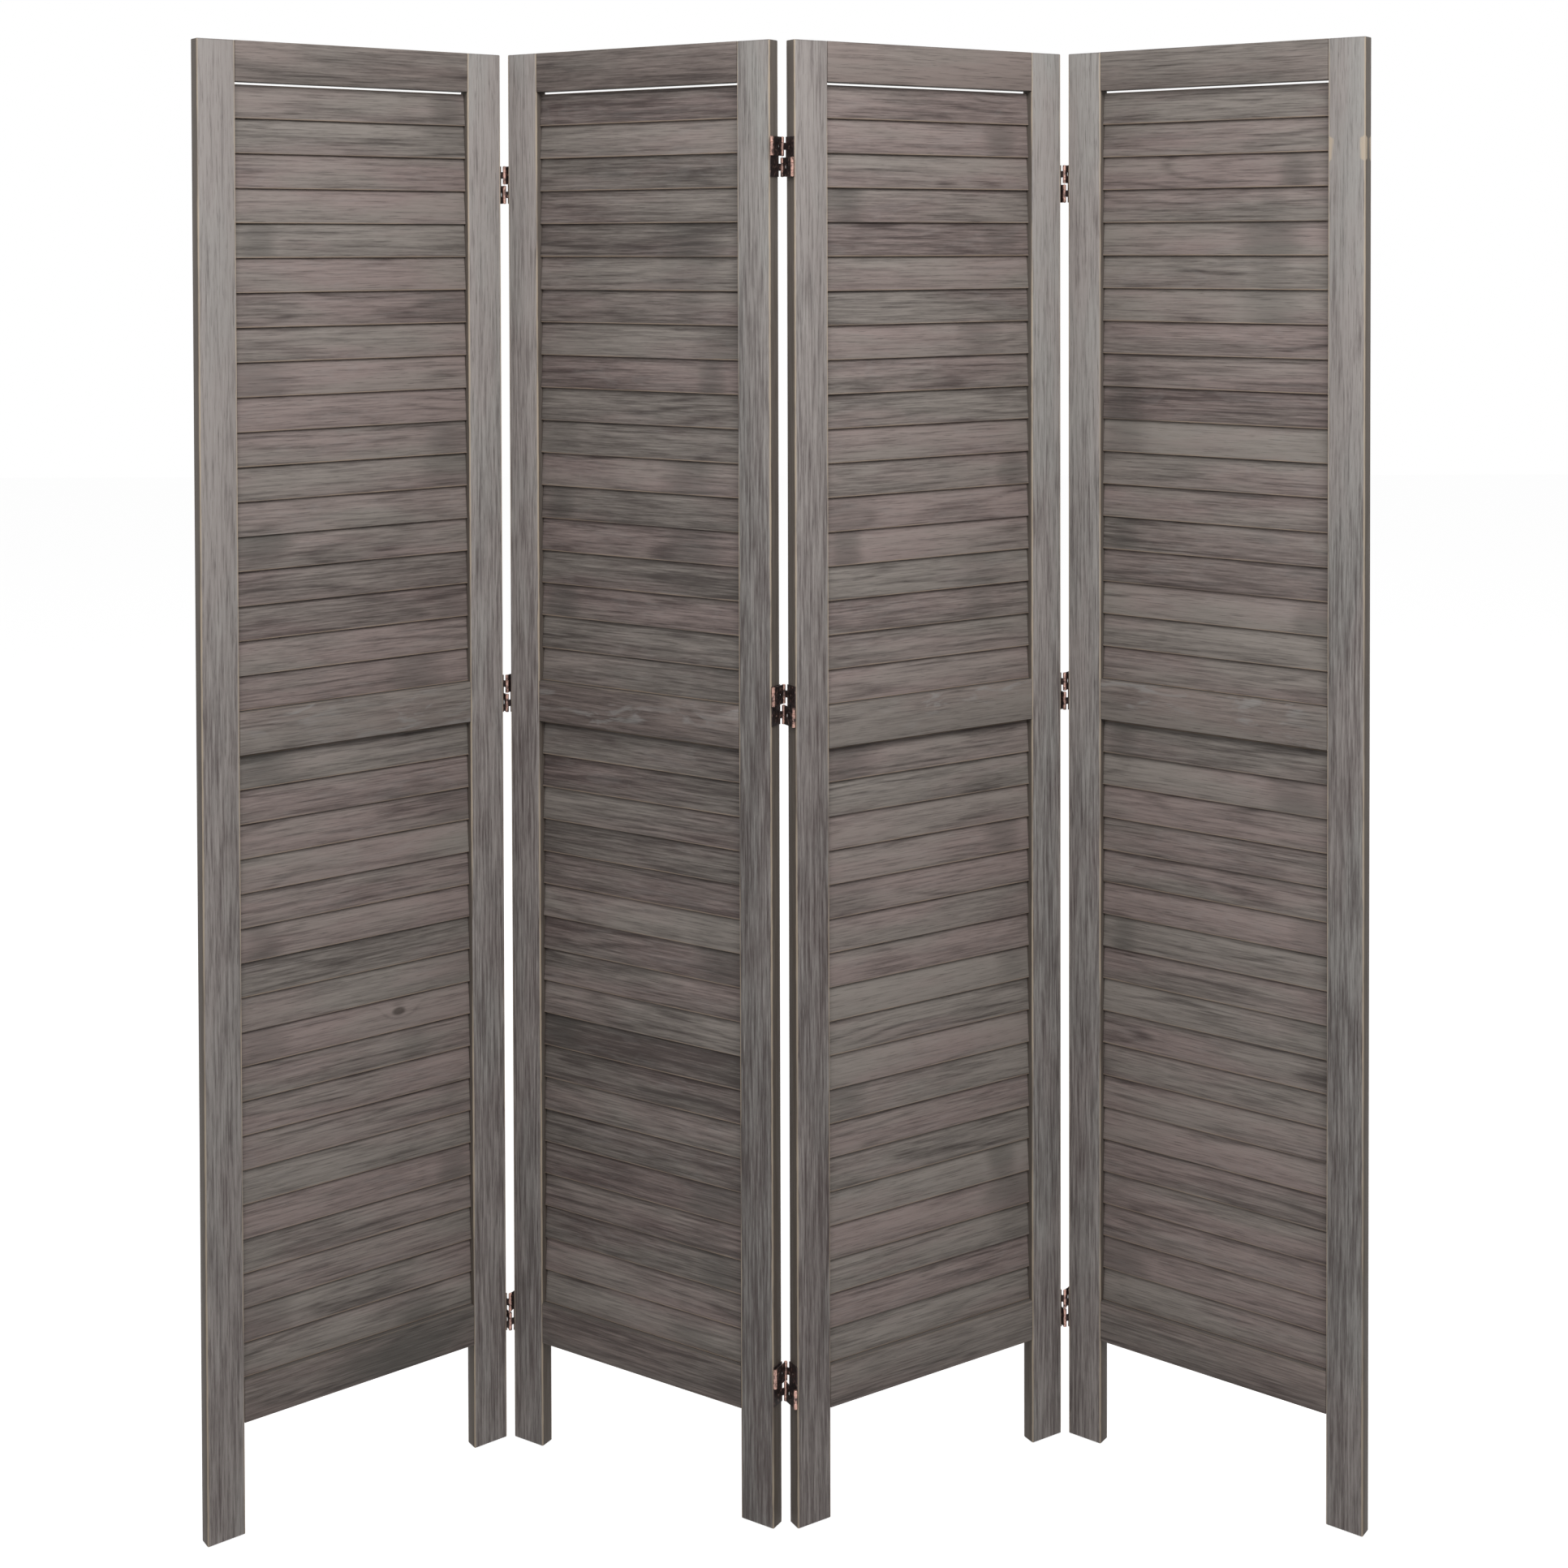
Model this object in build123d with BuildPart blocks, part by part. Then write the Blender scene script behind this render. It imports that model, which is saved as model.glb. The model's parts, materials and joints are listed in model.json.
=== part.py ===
"""A four-panel folding screen with fixed louvre slats, standing in a zigzag.

Four wooden panels are joined by three rows of screen hinges. A screen hinge has two leaves, one on
the end face of each panel, and two links that cross from the front edge of one panel to the back
edge of the next, one above the other, so its leaf barrels lie in front of and behind the panels.

X runs along the screen from the first panel to the fourth, Y away from the viewer and Z up. The
origin is on the floor, in the middle of the screen's outline as it stands. Sizes are in millimetres.
"""
from build123d import *
from math import atan2, cos, degrees, pi, radians, sin
import os

# Panel frame
panel_width = 400.0
panel_thickness = 19.0
stile_width = 46.5
leg_length = 135.0
bottom_rail_height = 51.5
middle_rail_height = 51.5
top_rail_height = 49.0
edge_ease = 0.8
foot_ease = 3.0
tenon_length = 25.0
tenon_thickness = 7.0
tenon_shoulder = 8.0

# Louvre slats: each leans back at the top and fits between the stiles
slats_per_bay = 18
slat_pitch = 41.75
slat_width = 43.0
slat_thickness = 4.0
slat_tilt = 5.8
slat_set_back = 6.4
bay_allowance = 2.0
top_slat_gap = 2.7

# Wood joints
joint_clearance = 0.1

# How the screen stands: each panel's turn from the X axis, in degrees
headings = (37.0, -31.1, 32.0, -35.3)

# Sides of the small forms that repeat many times over: only the pins are fully round
barrel_sides = 8
bore_sides = 6
screw_sides = 6
driver_hole_sides = 8

# Screen hinges
hinge_height = 48.0
link_spacing = 2.0
leaf_thickness = 1.2
leaf_margin = 0.5
leaf_bend = 2.5
link_thickness = 1.2
barrel_radius = 2.2
pin_radius = 1.1
pin_clearance = 0.05
pin_head = 0.4
leaf_barrel_height = 8.6
barrel_clearance = 0.2
barrel_out = 4.5
barrel_proud = 2.1
link_notch = 3.6
driver_hole_radius = 5.0

# Hinge screws
screw_length = 16.0
screw_radius = 1.4
screw_head_radius = 2.7
screw_tip_radius = 0.6
screw_clearance = 0.1

# Where the hinges' middles lie: above the bottom rail, above the middle rail and below the top
outer_hinges_low = 29.0
outer_hinges_middle = 30.5
outer_hinges_top = 167.0
centre_hinges_low = 38.0
centre_hinges_middle = 56.0
centre_hinges_top = 139.5

# Heights that follow
bay_height = slats_per_bay * slat_pitch + bay_allowance
lower_bay_bottom = leg_length + bottom_rail_height
middle_rail_bottom = lower_bay_bottom + bay_height
upper_bay_bottom = middle_rail_bottom + middle_rail_height
top_rail_bottom = upper_bay_bottom + bay_height
panel_height = top_rail_bottom + top_rail_height
half_height = (hinge_height - link_spacing) / 2
bore_radius = pin_radius + pin_clearance
tilt = radians(slat_tilt)

outer_hinges = (
    leg_length + outer_hinges_low,
    middle_rail_bottom + outer_hinges_middle,
    panel_height - outer_hinges_top,
)
centre_hinges = (
    leg_length + centre_hinges_low,
    middle_rail_bottom + centre_hinges_middle,
    panel_height - centre_hinges_top,
)
# Each joint's panels, its hinge heights, and the face towards which it folds
joints = (
    {"left": 0, "right": 1, "heights": outer_hinges, "folds": "front"},
    {"left": 1, "right": 2, "heights": centre_hinges, "folds": "back"},
    {"left": 2, "right": 3, "heights": outer_hinges, "folds": "front"},
)


def turned(heading, along, depth):
    """A step along a panel and into its depth, in X and Y."""
    turn = radians(heading)
    return (
        along * cos(turn) - depth * sin(turn),
        along * sin(turn) + depth * cos(turn),
    )


def barrel_depth(face):
    """How deep the barrels at a panel's front or back face lie, from its front face."""
    return -barrel_proud if face == "front" else panel_thickness + barrel_proud


def chained_corners():
    """Front left corner of each panel, with the first at zero and the folding barrels in line."""
    corners = [(0.0, 0.0)]
    for joint in joints:
        depth = barrel_depth(joint["folds"])
        reach = turned(headings[joint["left"]], panel_width + barrel_out, depth)
        back = turned(headings[joint["right"]], -barrel_out, depth)
        last = corners[-1]
        corners.append((last[0] + reach[0] - back[0], last[1] + reach[1] - back[1]))
    return corners


def eased_corners():
    """Corners of a panel's outline seen from above, with the arrises taken off."""
    steps = []
    for along, inward in ((0.0, edge_ease), (panel_width, -edge_ease)):
        for depth, deeper in ((0.0, edge_ease), (panel_thickness, -edge_ease)):
            steps += [(along + inward, depth), (along, depth + deeper)]
    return steps


def barrel_corners(along):
    """Corners of the front and the back barrels that lie at one place along a panel."""
    steps = []
    for count in range(barrel_sides):
        angle = 2 * pi * count / barrel_sides
        for face in ("front", "back"):
            depth = barrel_depth(face) + barrel_radius * sin(angle)
            steps.append((along + barrel_radius * cos(angle), depth))
    return steps


def outline_middle(corners):
    """Middle of the screen's outline seen from above."""
    outlines = [eased_corners() for corner in corners]
    for joint in joints:
        outlines[joint["left"]] += barrel_corners(panel_width + barrel_out)
        outlines[joint["right"]] += barrel_corners(-barrel_out)
    across = []
    away = []
    for corner, heading, steps in zip(corners, headings, outlines):
        for step in steps:
            x, y = turned(heading, *step)
            across.append(corner[0] + x)
            away.append(corner[1] + y)
    return (min(across) + max(across)) / 2, (min(away) + max(away)) / 2


free_corners = chained_corners()
middle = outline_middle(free_corners)
corners = [(x - middle[0], y - middle[1]) for x, y in free_corners]


def panel_point(panel, along, depth, height=0.0):
    """A point of a panel, from its front left corner at the floor."""
    x, y = turned(headings[panel], along, depth)
    return (corners[panel][0] + x, corners[panel][1] + y, height)


def panel_plane(panel, height=0.0):
    """Level plane of a panel: X along it, Y into its depth."""
    x, y = turned(headings[panel], 1, 0)
    return Plane(origin=panel_point(panel, 0, 0, height), x_dir=(x, y, 0), z_dir=(0, 0, 1))


def front_plane(panel, along=0.0, depth=0.0):
    """Upright plane along a panel: X along it, Y up, facing the viewer."""
    x, y = turned(headings[panel], 1, 0)
    return Plane(origin=panel_point(panel, along, depth), x_dir=(x, y, 0), z_dir=(y, -x, 0))


def section_plane(panel, along):
    """Upright plane across a panel: X into its depth, Y up, facing along it."""
    x, y = turned(headings[panel], 0, 1)
    return Plane(origin=panel_point(panel, along, 0), x_dir=(x, y, 0), z_dir=(y, -x, 0))


def finish(builder, name):
    """Name a finished piece and write it."""
    builder.part.label = name
    export_step(builder.part, f"parts/{name}.step")


def rail_spans():
    """Bottom and top of each rail."""
    return {
        "bottom_rail": (leg_length, lower_bay_bottom),
        "middle_rail": (middle_rail_bottom, upper_bay_bottom),
        "top_rail": (top_rail_bottom, panel_height),
    }


def slat_sections(bay_bottom):
    """Middle and width of each slat of a bay, across the panel; the top one is ripped narrower."""
    first = slat_thickness * sin(tilt) + joint_clearance
    sections = []
    for count in range(slats_per_bay):
        height = first + count * slat_pitch
        width = slat_width
        if count == slats_per_bay - 1:
            width = (bay_height - height - top_slat_gap) / cos(tilt)
        middle_depth = slat_set_back + width / 2 * sin(tilt) + slat_thickness / 2 * cos(tilt)
        middle_height = bay_bottom + height + width / 2 * cos(tilt) - slat_thickness / 2 * sin(tilt)
        sections.append(((middle_depth, middle_height), width))
    return sections


def hinge_heights(panel, side):
    """Middles of the hinges on a panel's left or right end, and none on a free end."""
    for joint in joints:
        if joint["right" if side == "left" else "left"] == panel:
            return joint["heights"]
    return ()


def screw_heights(heights):
    """Heights of a leaf's two screws, at the middle of its upper and its lower half."""
    reach = (link_spacing + half_height) / 2
    return [height + step for height in heights for step in (reach, -reach)]


def end_face(side):
    """Place along a panel of one of its end faces, and which way it faces."""
    return (panel_width, 1) if side == "right" else (0.0, -1)


def make_stile(panel, side):
    """Upright with a leg, mortises for the rails and holes for the hinge screws."""
    outer, out = end_face(side)
    inner = outer - out * stile_width
    with BuildPart() as stile:
        with BuildSketch(panel_plane(panel)):
            with Locations(((outer + inner) / 2, panel_thickness / 2)):
                Rectangle(stile_width, panel_thickness)
        extrude(amount=panel_height)
        chamfer(stile.faces().sort_by(Axis.Z)[0].edges(), foot_ease)
        chamfer(stile.faces().sort_by(Axis.Z)[-1].edges(), edge_ease)
        chamfer(stile.edges().filter_by(Axis.Z), edge_ease)
        with BuildSketch(section_plane(panel, inner)):
            for low, high in rail_spans().values():
                with Locations((panel_thickness / 2, (low + high) / 2)):
                    Rectangle(
                        tenon_thickness + 2 * joint_clearance,
                        high - low - 2 * tenon_shoulder + 2 * joint_clearance,
                    )
        extrude(amount=out * (tenon_length + joint_clearance), mode=Mode.SUBTRACT)
        if hinge_heights(panel, side):
            with BuildSketch(section_plane(panel, outer)):
                for height in screw_heights(hinge_heights(panel, side)):
                    with Locations((panel_thickness / 2, height)):
                        RegularPolygon(screw_radius + screw_clearance, screw_sides, major_radius=False)
            extrude(amount=-out * screw_length, mode=Mode.SUBTRACT)
    finish(stile, f"panel_{panel + 1}_{side}_stile")


def make_rail(panel, name, low, high):
    """Cross rail, flush with the stiles, with a stub tenon at each end."""
    with BuildPart() as rail:
        with BuildSketch(front_plane(panel)):
            with Locations((panel_width / 2, (low + high) / 2)):
                Rectangle(panel_width - 2 * stile_width, high - low)
        extrude(amount=-panel_thickness)
        with BuildSketch(front_plane(panel, depth=(panel_thickness - tenon_thickness) / 2)):
            with Locations((panel_width / 2, (low + high) / 2)):
                Rectangle(
                    panel_width - 2 * stile_width + 2 * tenon_length,
                    high - low - 2 * tenon_shoulder,
                )
        extrude(amount=-tenon_thickness)
    finish(rail, f"panel_{panel + 1}_{name}")


def make_slats(panel, name, bay_bottom):
    """The slats of one bay, each fitted between the two stiles."""
    start = stile_width + joint_clearance
    with BuildPart() as slats:
        with BuildSketch(section_plane(panel, start)):
            for middle_point, width in slat_sections(bay_bottom):
                with Locations(middle_point):
                    Rectangle(slat_thickness, width, rotation=-slat_tilt)
        extrude(amount=panel_width - 2 * start)
    finish(slats, f"panel_{panel + 1}_{name}")


def leaf_side(side):
    """The leaf on a panel's right end is the left one of its hinge, and the other way round."""
    return "left" if side == "right" else "right"


def make_leaves(number, panel, side, heights):
    """Leaves on one end face: an upper and a lower barrel, at opposite edges of the panel."""
    end, out = end_face(side)
    faces = {"upper": "front", "lower": "back"} if side == "right" else {"upper": "back", "lower": "front"}
    steps = {"upper": (link_spacing + half_height) / 2, "lower": -(link_spacing + half_height) / 2}
    with BuildPart() as leaves:
        for height in heights:
            with BuildSketch(panel_plane(panel, height - hinge_height / 2)):
                with Locations((end + out * leaf_thickness / 2, panel_thickness / 2)):
                    Rectangle(leaf_thickness, panel_thickness - 2 * leaf_margin)
            extrude(amount=hinge_height)
            for half, face in faces.items():
                edge = leaf_bend if face == "front" else panel_thickness - leaf_bend
                barrel = Vector(end + out * barrel_out, barrel_depth(face))
                root = Vector(end + out * leaf_thickness / 2, edge)
                strap = barrel - root
                slant = degrees(atan2(strap.Y, strap.X))
                with BuildSketch(panel_plane(panel, height + steps[half] - leaf_barrel_height / 2)):
                    with Locations((root + barrel) * 0.5):
                        Rectangle(strap.length, leaf_thickness, rotation=slant)
                    with Locations(barrel):
                        RegularPolygon(barrel_radius, barrel_sides)
                        RegularPolygon(bore_radius, bore_sides, major_radius=False, mode=Mode.SUBTRACT)
                extrude(amount=leaf_barrel_height)
        for height in screw_heights(heights):
            for reach, radius in ((leaf_thickness, screw_head_radius), (0.0, screw_radius)):
                with BuildSketch(section_plane(panel, end + out * reach)):
                    with Locations((panel_thickness / 2, height)):
                        RegularPolygon(radius + screw_clearance, screw_sides, major_radius=False)
            loft(ruled=True, mode=Mode.SUBTRACT)
    finish(leaves, f"hinge_{number}_{leaf_side(side)}_leaves")


def make_links(number, panel, side, half, heights):
    """Links of one half of each hinge: a plate with a barrel at each edge and a hole for the driver."""
    end, out = end_face(side)
    step = link_spacing / 2 if half == "upper" else -link_spacing / 2 - half_height
    barrels = [(end + out * barrel_out, barrel_depth(face)) for face in ("front", "back")]
    plate_depth = panel_thickness + 2 * barrel_proud
    gap_height = leaf_barrel_height + 2 * barrel_clearance
    with BuildPart() as links:
        for height in heights:
            bottom = height + step
            with BuildSketch(panel_plane(panel, bottom)):
                with Locations((end + out * barrel_out, panel_thickness / 2)):
                    Rectangle(link_thickness, plate_depth)
                with Locations(*barrels):
                    RegularPolygon(barrel_radius, barrel_sides)
                    RegularPolygon(bore_radius, bore_sides, major_radius=False, mode=Mode.SUBTRACT)
            extrude(amount=half_height)
            with BuildSketch(panel_plane(panel, bottom + (half_height - gap_height) / 2)):
                with Locations(*barrels):
                    Rectangle(4 * barrel_radius, 2 * link_notch)
            extrude(amount=gap_height, mode=Mode.SUBTRACT)
            with BuildSketch(section_plane(panel, end + out * (barrel_out - link_thickness))):
                with Locations((panel_thickness / 2, bottom + half_height / 2)):
                    RegularPolygon(driver_hole_radius, driver_hole_sides)
            extrude(amount=out * 2 * link_thickness, mode=Mode.SUBTRACT)
    finish(links, f"hinge_{number}_{half}_links")


def make_pins(number, panel, side, half, heights):
    """Pins of one half of each hinge, one at each end of its link, with their ends peened over."""
    end, out = end_face(side)
    step = link_spacing / 2 if half == "upper" else -link_spacing / 2 - half_height
    with BuildPart() as pins:
        for height in heights:
            with BuildSketch(panel_plane(panel, height + step - pin_head)):
                for face in ("front", "back"):
                    with Locations((end + out * barrel_out, barrel_depth(face))):
                        Circle(pin_radius)
            extrude(amount=half_height + 2 * pin_head)
    finish(pins, f"hinge_{number}_{half}_pins")


def make_screws(number, panel, side, heights):
    """Countersunk screws of the leaves on one end face: head, neck and tapered tip."""
    end, out = end_face(side)
    sections = (
        (leaf_thickness, screw_head_radius),
        (0.0, screw_radius),
        (leaf_thickness - screw_length, screw_tip_radius),
    )
    with BuildPart() as screws:
        for height in screw_heights(heights):
            for reach, radius in sections:
                with BuildSketch(section_plane(panel, end + out * reach)):
                    with Locations((panel_thickness / 2, height)):
                        RegularPolygon(radius, screw_sides)
            loft(ruled=True)
    finish(screws, f"hinge_{number}_{leaf_side(side)}_screws")


os.makedirs("parts", exist_ok=True)
for panel in range(len(headings)):
    for side in ("left", "right"):
        make_stile(panel, side)
    for name, (low, high) in rail_spans().items():
        make_rail(panel, name, low, high)
    make_slats(panel, "lower_slats", lower_bay_bottom)
    make_slats(panel, "upper_slats", upper_bay_bottom)

for number, joint in enumerate(joints, start=1):
    left = {"panel": joint["left"], "side": "right"}
    right = {"panel": joint["right"], "side": "left"}
    for ends in (left, right):
        make_leaves(number, ends["panel"], ends["side"], joint["heights"])
        make_screws(number, ends["panel"], ends["side"], joint["heights"])
    upper, lower = (right, left) if joint["folds"] == "front" else (left, right)
    for half, ends in (("upper", upper), ("lower", lower)):
        make_links(number, ends["panel"], ends["side"], half, joint["heights"])
        make_pins(number, ends["panel"], ends["side"], half, joint["heights"])
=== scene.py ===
"""Dressed model of the four-panel louvred folding screen: stained boards and bronzed screen hinges.

Lengths are in metres. Each board and hinge is shaped in its own axes and then set in its panel, whose
place is read from the frame.
"""
import bmesh
import bpy
import json
from math import atan2, cos, hypot, pi, radians, sin
from mathutils import Matrix, Vector
from random import Random

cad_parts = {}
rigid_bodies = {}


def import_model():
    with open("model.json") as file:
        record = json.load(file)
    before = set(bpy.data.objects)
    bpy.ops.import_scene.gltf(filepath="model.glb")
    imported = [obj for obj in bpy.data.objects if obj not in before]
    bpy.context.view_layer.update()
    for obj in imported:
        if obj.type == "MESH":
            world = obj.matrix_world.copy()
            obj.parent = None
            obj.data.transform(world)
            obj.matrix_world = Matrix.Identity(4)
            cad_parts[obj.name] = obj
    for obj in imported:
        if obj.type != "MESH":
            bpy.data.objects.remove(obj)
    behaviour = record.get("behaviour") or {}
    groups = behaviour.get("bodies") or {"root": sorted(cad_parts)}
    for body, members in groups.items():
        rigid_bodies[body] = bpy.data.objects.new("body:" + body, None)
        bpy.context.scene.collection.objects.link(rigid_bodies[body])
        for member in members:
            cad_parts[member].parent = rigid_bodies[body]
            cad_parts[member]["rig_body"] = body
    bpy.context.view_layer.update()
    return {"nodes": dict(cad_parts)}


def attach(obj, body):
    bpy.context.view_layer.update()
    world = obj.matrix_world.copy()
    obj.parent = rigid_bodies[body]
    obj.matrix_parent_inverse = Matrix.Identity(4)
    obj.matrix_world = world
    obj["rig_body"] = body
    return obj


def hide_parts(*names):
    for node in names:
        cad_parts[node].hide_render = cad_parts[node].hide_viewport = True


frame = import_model()

# Panels
panel_width = 0.400
panel_thickness = 0.019
stile_width = 0.0465
leg_length = 0.135
bottom_rail_height = 0.0515
middle_rail_height = 0.0515
top_rail_height = 0.049
headings = (37.0, -31.1, 32.0, -35.3)
panel_shades = {1: -0.08, 2: 0.34, 3: -0.04, 4: 0.0}
stile_shades = {
    (1, "left"): -0.04, (1, "right"): 0.06, (2, "left"): 0.40, (2, "right"): 0.66,
    (3, "left"): 0.38, (3, "right"): 0.26, (4, "left"): 0.26, (4, "right"): 0.32,
}

# Slats
slats_per_bay = 18
slat_pitch = 0.04175
slat_width = 0.043
slat_thickness = 0.004
slat_tilt = radians(5.8)
slat_set_back = 0.0064
bay_allowance = 0.002
top_slat_gap = 0.0027
joint_clearance = 0.0001

# Roundings of the boards' edges
frame_ease = 0.0012
foot_ease = 0.003
slat_ease = 0.0006
joint_ease = 0.0005

# Hinges
hinge_height = 0.048
link_spacing = 0.002
plate_thickness = 0.0012
leaf_margin = 0.0005
leaf_bend = 0.0025
barrel_radius = 0.0022
bore_radius = 0.00115
pin_radius = 0.0011
pin_head = 0.0004
leaf_barrel_height = 0.0086
barrel_clearance = 0.0002
barrel_out = 0.0045
barrel_proud = 0.0021
link_notch = 0.0036
driver_hole_radius = 0.005
screw_radius = 0.0014
screw_head_radius = 0.0027
screw_length = 0.016
screw_tip = 0.003
thread_turns = 9
thread_waist = 0.78
hole_clearance = 0.0001
barrel_lip = 0.0003
barrel_sides = 20
hole_sides = 24
pin_sides = 16
screw_sides = 12
weld_distance = 1e-6
outer_hinges = (0.029, 0.0305, 0.167)
centre_hinges = (0.038, 0.056, 0.1395)

# Marks on single boards: place along the grain, half length and depth, which is negative for a chip
corner_chip = Vector((0.765, 0.016, -1.0))
soaked_rail_end = Vector((0.05, 0.11, 1.2))
no_mark = Vector((9.0, 0.01, 0.0))

# Knots: X and Y of the middle, then the radius
slat_knot = Vector((0.055, 0.002, 0.0065))
no_knot = Vector((0.0, 9.0, 0.001))

# How boards differ from one another
shade_spread = 0.15
hue_spread = 0.6
offset_spread = 9
bottom_rail_shade = 0.22
marked_share = 0.45
mark_reaches = (0.25, 0.36, 0.42, -0.40)

# Heights that follow
bay_height = slats_per_bay * slat_pitch + bay_allowance
lower_bay_bottom = leg_length + bottom_rail_height
middle_rail_bottom = lower_bay_bottom + bay_height
upper_bay_bottom = middle_rail_bottom + middle_rail_height
top_rail_bottom = upper_bay_bottom + bay_height
panel_height = top_rail_bottom + top_rail_height
half_height = (hinge_height - link_spacing) / 2


def panel_matrix(number):
    """Place of a panel: its front left corner at the floor, X along it, Y into its depth."""
    turn = Matrix.Rotation(radians(headings[number - 1]), 4, "Z")
    back = turn.inverted()
    stile = frame["nodes"][f"panel_{number}_left_stile"]
    places = [back @ vertex.co for vertex in stile.data.vertices]
    corner = Vector((min(p.x for p in places), min(p.y for p in places), 0.0))
    return turn @ Matrix.Translation(corner)


panels = {number: panel_matrix(number) for number in range(1, len(headings) + 1)}


# Shader building

def add_node(tree, kind, inputs=None, **settings):
    """A node with its settings and its input values or links."""
    made = tree.nodes.new(kind)
    for name, value in settings.items():
        setattr(made, name, value)
    for name, value in (inputs or {}).items():
        if isinstance(value, bpy.types.NodeSocket):
            tree.links.new(value, made.inputs[name])
        else:
            made.inputs[name].default_value = value
    return made


def maths(tree, operation, first, second=0.0, third=0.0):
    """Output of a math node."""
    made = add_node(tree, "ShaderNodeMath", {0: first, 1: second, 2: third}, operation=operation)
    return made.outputs[0]


def ramp(tree, value, low, high, start=0.0, end=1.0):
    """A value brought smoothly from one range to another, and held at its ends."""
    made = add_node(
        tree, "ShaderNodeMapRange",
        {"Value": value, "From Min": low, "From Max": high, "To Min": start, "To Max": end},
        interpolation_type="SMOOTHSTEP",
    )
    return made.outputs["Result"]


def blend(tree, factor, first, second, mode="MIX"):
    """Mix of two colours."""
    made = add_node(
        tree, "ShaderNodeMix", {0: factor, 6: first, 7: second}, data_type="RGBA", blend_type=mode,
    )
    return made.outputs[2]


def noise(tree, vector, stretch, detail=3.0, roughness=0.5, distortion=0.0):
    """Noise whose grain is stretched by a different scale on each axis."""
    scaled = add_node(tree, "ShaderNodeVectorMath", {0: vector, 1: stretch}, operation="MULTIPLY")
    made = add_node(
        tree, "ShaderNodeTexNoise",
        {"Vector": scaled.outputs[0], "Scale": 1.0, "Detail": detail, "Roughness": roughness,
         "Distortion": distortion},
    )
    return made.outputs["Fac"]


def attribute(tree, name):
    """A vector that a board carries on its vertices."""
    made = add_node(tree, "ShaderNodeAttribute", attribute_name=name, attribute_type="GEOMETRY")
    return made.outputs["Vector"]


def parts_of(tree, vector):
    """The three parts of a vector."""
    return add_node(tree, "ShaderNodeSeparateXYZ", {0: vector}).outputs


def new_group(name, inputs, outputs):
    """An empty shader group with named sockets."""
    tree = bpy.data.node_groups.new(name, "ShaderNodeTree")
    for label, value in inputs.items():
        socket = tree.interface.new_socket(name=label, in_out="INPUT", socket_type="NodeSocketFloat")
        socket.default_value = value
    for label in outputs:
        tree.interface.new_socket(name=label, in_out="OUTPUT", socket_type="NodeSocketFloat")
    entry = tree.nodes.new("NodeGroupInput")
    leave = tree.nodes.new("NodeGroupOutput")
    return tree, entry, leave


def use_group(tree, group, inputs):
    """A shader group placed in a material."""
    made = add_node(tree, "ShaderNodeGroup", node_tree=group)
    for name, value in inputs.items():
        if isinstance(value, bpy.types.NodeSocket):
            tree.links.new(value, made.inputs[name])
        else:
            made.inputs[name].default_value = value
    return made.outputs


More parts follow.
